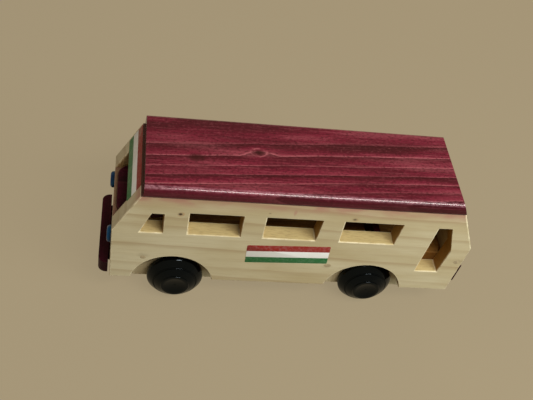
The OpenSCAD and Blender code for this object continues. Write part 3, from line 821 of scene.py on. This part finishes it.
feed(tree, shader["Roughness"], stretch(tree, marks["Smudge"], 0.0, 1.0, 0.32, 0.48))
feed(tree, shader["Normal"], bumped(tree, cloudy(tree, place, PAPER_CLOUDS, 2.0), 0.1, 0.05 * MM))
print("label print in three stripes, white from", GREEN_TOP, "to", RED_FOOT)

# %% [markdown]
# A label is a thin sheet, so it starts as a plane of the label's size. Its corners are rounded by a bevel
# on its points, it is extruded to the paper's thickness, and its edges are softened. It is turned on to its
# board and moved there before its place is applied to its mesh. The header's slope is read from its solid.

# %% stick on the labels
LABEL_WIDE, LABEL_TALL = 58.0 * MM, 18.0 * MM
PAPER = 0.14 * MM
LABEL_CORNER = 0.7 * MM
FACING_LEFT = math.radians(180)
FACING_FRONT = math.radians(90)


def paper_label(name, centre, lean_back, heading, tilt):
    """A thin sheet with round corners that faces a heading, leans back and is tilted on its board."""
    bpy.ops.object.select_all(action="DESELECT")
    bpy.ops.mesh.primitive_plane_add(size=1)
    label = bpy.context.object
    label.name = name
    label.scale = (LABEL_WIDE, LABEL_TALL, 1.0)
    bpy.ops.object.transform_apply(location=False, rotation=False, scale=True)
    bpy.ops.object.mode_set(mode="EDIT")
    bpy.ops.mesh.select_all(action="SELECT")
    bpy.ops.mesh.bevel(offset=LABEL_CORNER, segments=4, affect="VERTICES")
    bpy.ops.mesh.select_all(action="SELECT")
    bpy.ops.mesh.extrude_region_move(TRANSFORM_OT_translate={"value": (0, 0, PAPER)})
    bpy.ops.mesh.bevel(offset=PAPER * 0.4, segments=2, affect="EDGES")
    bpy.ops.mesh.select_all(action="SELECT")
    bpy.ops.mesh.normals_make_consistent(inside=False)
    bpy.ops.object.mode_set(mode="OBJECT")
    levels = [vertex.co.y / LABEL_TALL + 0.5 for vertex in label.data.vertices]
    label.data.attributes.new("level", "FLOAT", "POINT").data.foreach_set("value", levels)
    askew = Quaternion((0, 0, 1), tilt)
    stand = Quaternion((1, 0, 0), math.radians(90) - lean_back)
    face_heading = Quaternion((0, 0, 1), heading)
    label.rotation_mode = "QUATERNION"
    label.rotation_quaternion = face_heading @ stand @ askew
    label.location = centre
    bpy.ops.object.transform_apply(location=True, rotation=True, scale=True)
    bpy.ops.object.shade_smooth_by_angle(angle=SHARP_TURN)
    label.data.materials.append(label_print)
    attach(label, "body")
    print(name, "is", round(LABEL_WIDE / MM, 1), "x", round(LABEL_TALL / MM, 1), "mm")


SIDE_LABEL_TILT = math.radians(2.3)
paper_label("side_label", on_side(120.8, 31.8), 0.0, FACING_LEFT, SIDE_LABEL_TILT)

NEAR = 0.05 * MM
header_low, header_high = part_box("windscreen_header")
header_points = [point.co for point in frame["nodes"]["windscreen_header"].data.vertices]
foot_x = max(point.x for point in header_points if point.z < header_low.z + NEAR)
top_x = max(point.x for point in header_points if point.z > header_high.z - NEAR)
header_rise = header_high.z - header_low.z
header_lean = math.atan2(foot_x - top_x, header_rise)
HEADER_LABEL_SIDE = -4.0 * MM
down_slope = Vector((foot_x - top_x, 0.0, -header_rise)).normalized()
header_label_middle = Vector((top_x, HEADER_LABEL_SIDE, header_high.z)) + down_slope * LABEL_TALL / 2
paper_label("header_label", header_label_middle, header_lean, FACING_FRONT, 0.0)

# %% [markdown]
# The nails are sunk and covered with dabs of filler, pressed on with a thumb. A dab starts as a flat disc,
# is extruded to a low button and its upper edge is bevelled away. A seeded shake makes its outline uneven.
# One dab goes over the outer end of each nail, whose places are read from the nails' own solids.

# %% finish and shape of the filler dabs
FILLER_DARK = paint(138, 122, 94)
FILLER_PALE = paint(164, 147, 114)
FILLER_CLOUDS = (900, 900, 900)

filler, tree, shader = new_finish("wood_filler")
place = turned_place(tree, LENGTHWISE)
grainy = cloudy(tree, place, FILLER_CLOUDS, 3.0)
dry = stretch(tree, grainy, 0.3, 0.7)
feed(tree, shader["Base Color"], blend_colours(tree, dry, FILLER_DARK, FILLER_PALE))
feed(tree, shader["Roughness"], stretch(tree, grainy, 0.3, 0.7, 0.6, 0.8))
feed(tree, shader["Normal"], bumped(tree, grainy, 0.3, 0.1 * MM))

DAB_RADIUS = 1.7 * MM
DAB_HEIGHT = 0.12 * MM
DAB_SHAKE = 0.12 * MM
DAB_STRETCH = 1.15
DAB_TAPER = 0.8
DAB_SOFT_TURN = math.radians(60)
NAIL_SPACING = 20 * MM


def nail_ends(node, face):
    """The centre of each nail's outer end, read from the solid's points on the board's face."""
    ends = {}
    for vertex in frame["nodes"][node].data.vertices:
        if abs(vertex.co.y - face) < NEAR:
            ends.setdefault(round(vertex.co.x / NAIL_SPACING), []).append(vertex.co)
    return [sum(points, Vector()) / len(points) for points in ends.values()]


def filler_dab(name, centre, outward, seed):
    """A low uneven button of filler on a side board."""
    bpy.ops.object.select_all(action="DESELECT")
    bpy.ops.mesh.primitive_circle_add(vertices=24, radius=DAB_RADIUS, fill_type="NGON")
    dab = bpy.context.object
    dab.name = name
    bpy.ops.object.mode_set(mode="EDIT")
    bpy.ops.mesh.select_all(action="SELECT")
    bpy.ops.transform.vertex_random(offset=DAB_SHAKE, seed=seed)
    bpy.ops.transform.resize(value=(DAB_STRETCH, 1.0, 0.0))
    bpy.ops.mesh.extrude_region_move(TRANSFORM_OT_translate={"value": (0, 0, DAB_HEIGHT)})
    bpy.ops.transform.resize(value=(DAB_TAPER, DAB_TAPER, 1.0))
    bpy.ops.mesh.bevel(offset=DAB_HEIGHT * 0.8, segments=2, affect="EDGES")
    bpy.ops.mesh.select_all(action="SELECT")
    bpy.ops.mesh.normals_make_consistent(inside=False)
    bpy.ops.object.mode_set(mode="OBJECT")
    dab.rotation_euler = (math.radians(-90 * outward), 0.0, 0.0)
    dab.location = centre
    bpy.ops.object.transform_apply(location=True, rotation=True, scale=True)
    bpy.ops.object.shade_smooth_by_angle(angle=DAB_SOFT_TURN)
    dab.data.materials.append(filler)
    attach(dab, "body")


for side, outward in (("left", 1), ("right", -1)):
    centres = nail_ends(side + "_nails", outward * side_face)
    for number, centre in enumerate(centres):
        filler_dab(f"{side}_filler_{number + 1}", centre, outward, seed=number + 1)
    print(side, "nails covered:", len(centres))

# %% [markdown]
# The bus stands on a plain pale floor with no horizon. To the camera and in reflections the floor and the
# world show mostly one even tan, and the floor still takes a soft shadow from the bus. The floor's own
# paint is darker than that, so that little light comes back up under the bus.

# %% floor and world
BACKDROP = paint(164, 149, 120)
FLOOR_PAINT = paint(120, 108, 86)
FLOOR_EVENNESS = 0.72
FLOOR_GLOW = 1.2
FLOOR_SIZE = 6.0
WORLD_COLOUR = (1.0, 0.88, 0.7, 1.0)
WORLD_LEVEL = 0.17

bpy.ops.object.select_all(action="DESELECT")
bpy.ops.mesh.primitive_plane_add(size=FLOOR_SIZE, location=(0.0, 0.0, cad_low.z))
floor = bpy.context.object
floor.name = "studio_floor"


def seen_directly(tree):
    """One where a ray comes from the camera, a reflection or a clear material, and zero elsewhere."""
    path = add_node(tree, "ShaderNodeLightPath").outputs
    shiny = sum_of(tree, "MAXIMUM", path["Is Glossy Ray"], path["Is Transmission Ray"])
    return sum_of(tree, "MAXIMUM", path["Is Camera Ray"], shiny)


floor_finish, tree, shader = new_finish(
    "studio_floor", Base_Color=FLOOR_PAINT, Roughness=0.9, Specular_IOR_Level=0.1)
glow = add_node(tree, "ShaderNodeEmission")
glow.inputs["Color"].default_value = BACKDROP
glow.inputs["Strength"].default_value = FLOOR_GLOW
either = add_node(tree, "ShaderNodeMixShader")
feed(tree, either.inputs["Fac"], sum_of(tree, "MULTIPLY", seen_directly(tree), FLOOR_EVENNESS))
feed(tree, either.inputs[1], tree.nodes["Principled BSDF"].outputs[0])
feed(tree, either.inputs[2], glow.outputs[0])
feed(tree, tree.nodes["Material Output"].inputs["Surface"], either.outputs[0])
floor.data.materials.append(floor_finish)

world = bpy.data.worlds.new("studio")
world.use_nodes = True
bpy.context.scene.world = world
tree = world.node_tree
sky = tree.nodes["Background"]
sky.inputs["Color"].default_value = WORLD_COLOUR
sky.inputs["Strength"].default_value = WORLD_LEVEL
backdrop = add_node(tree, "ShaderNodeBackground")
backdrop.inputs["Color"].default_value = BACKDROP
either = add_node(tree, "ShaderNodeMixShader")
feed(tree, either.inputs["Fac"], seen_directly(tree))
feed(tree, either.inputs[1], sky.outputs[0])
feed(tree, either.inputs[2], backdrop.outputs[0])
feed(tree, tree.nodes["World Output"].inputs["Surface"], either.outputs[0])
print("floor at", round(cad_low.z, 5), "m")

# %% [markdown]
# A tube hangs over the near side behind the bus. It makes the bright streak on the roof's rounded edge, and
# lets sills and wheel tops catch light while the reveals that face forwards stay dark. A soft lamp at the
# side, also from behind, fills the side board and lets its brightness fall off towards the nose. A weak
# lamp in front lifts the sloping screen, and a weak warm one on the far side shines in through the windows.
# Only the tube is seen in reflections, so that the varnish and the lacquer carry one clean highlight.

# %% lamps
BUS_MIDDLE = Vector((0.0, 0.0, 0.06))
TUBE_WHITE = (1.0, 0.95, 0.88)
SIDE_COOL = (0.84, 0.95, 1.0)
FRONT_WHITE = (1.0, 0.97, 0.93)
FAR_WARM = (1.0, 0.8, 0.5)


def area_lamp(name, place, wide, tall, watts, colour, mirrored=False):
    """A soft lamp aimed at the bus, with its wide side level, seen in reflections if mirrored."""
    bpy.ops.object.light_add(type="AREA", location=place)
    lamp = bpy.context.object
    lamp.name = name
    lamp.data.shape = "RECTANGLE"
    lamp.data.size = wide
    lamp.data.size_y = tall
    lamp.data.energy = watts
    lamp.data.color = colour
    lamp.visible_glossy = mirrored
    lamp.rotation_mode = "QUATERNION"
    lamp.rotation_quaternion = (BUS_MIDDLE - Vector(place)).to_track_quat("-Z", "Y")


area_lamp("tube", (-0.2, 0.42, 0.74), wide=0.5, tall=0.1, watts=5.2, colour=TUBE_WHITE, mirrored=True)
area_lamp("side", (-0.7, 0.47, 0.42), wide=0.5, tall=0.6, watts=8.8, colour=SIDE_COOL)
area_lamp("front", (0.75, 0.04, 0.46), wide=0.4, tall=0.4, watts=1.5, colour=FRONT_WHITE)
area_lamp("far", (-0.35, -0.9, 0.42), wide=0.5, tall=0.4, watts=3.0, colour=FAR_WARM)
print("lamps:", ", ".join(item.name for item in bpy.data.lights))

# %% [markdown]
# The camera looks down on the near side from a little in front. It is rolled, so the bus lies slightly
# aslant. Its sensor and its lens are measured in millimetres, as on a real camera.

# %% camera
CAMERA_PLACE = Vector((0.11722, 0.40413, 0.49287))
LOOKED_AT = Vector((0.01289, -0.01208, 0.06))
CAMERA_ROLL = math.radians(13.424)
SENSOR_WIDTH = 36.0
LENS = 56.833
NEAREST_SEEN = 10 * MM
bpy.ops.object.camera_add(location=CAMERA_PLACE)
camera = bpy.context.object
camera.data.sensor_width = SENSOR_WIDTH
camera.data.lens = LENS
camera.data.clip_start = NEAREST_SEEN
camera.rotation_mode = "QUATERNION"
aim = (LOOKED_AT - CAMERA_PLACE).to_track_quat("-Z", "Y")
camera.rotation_quaternion = aim @ Quaternion((0, 0, 1), CAMERA_ROLL)
bpy.context.scene.camera = camera
bpy.context.scene.view_settings.view_transform = "Standard"
print("camera", round((CAMERA_PLACE - LOOKED_AT).length, 3), "m away")
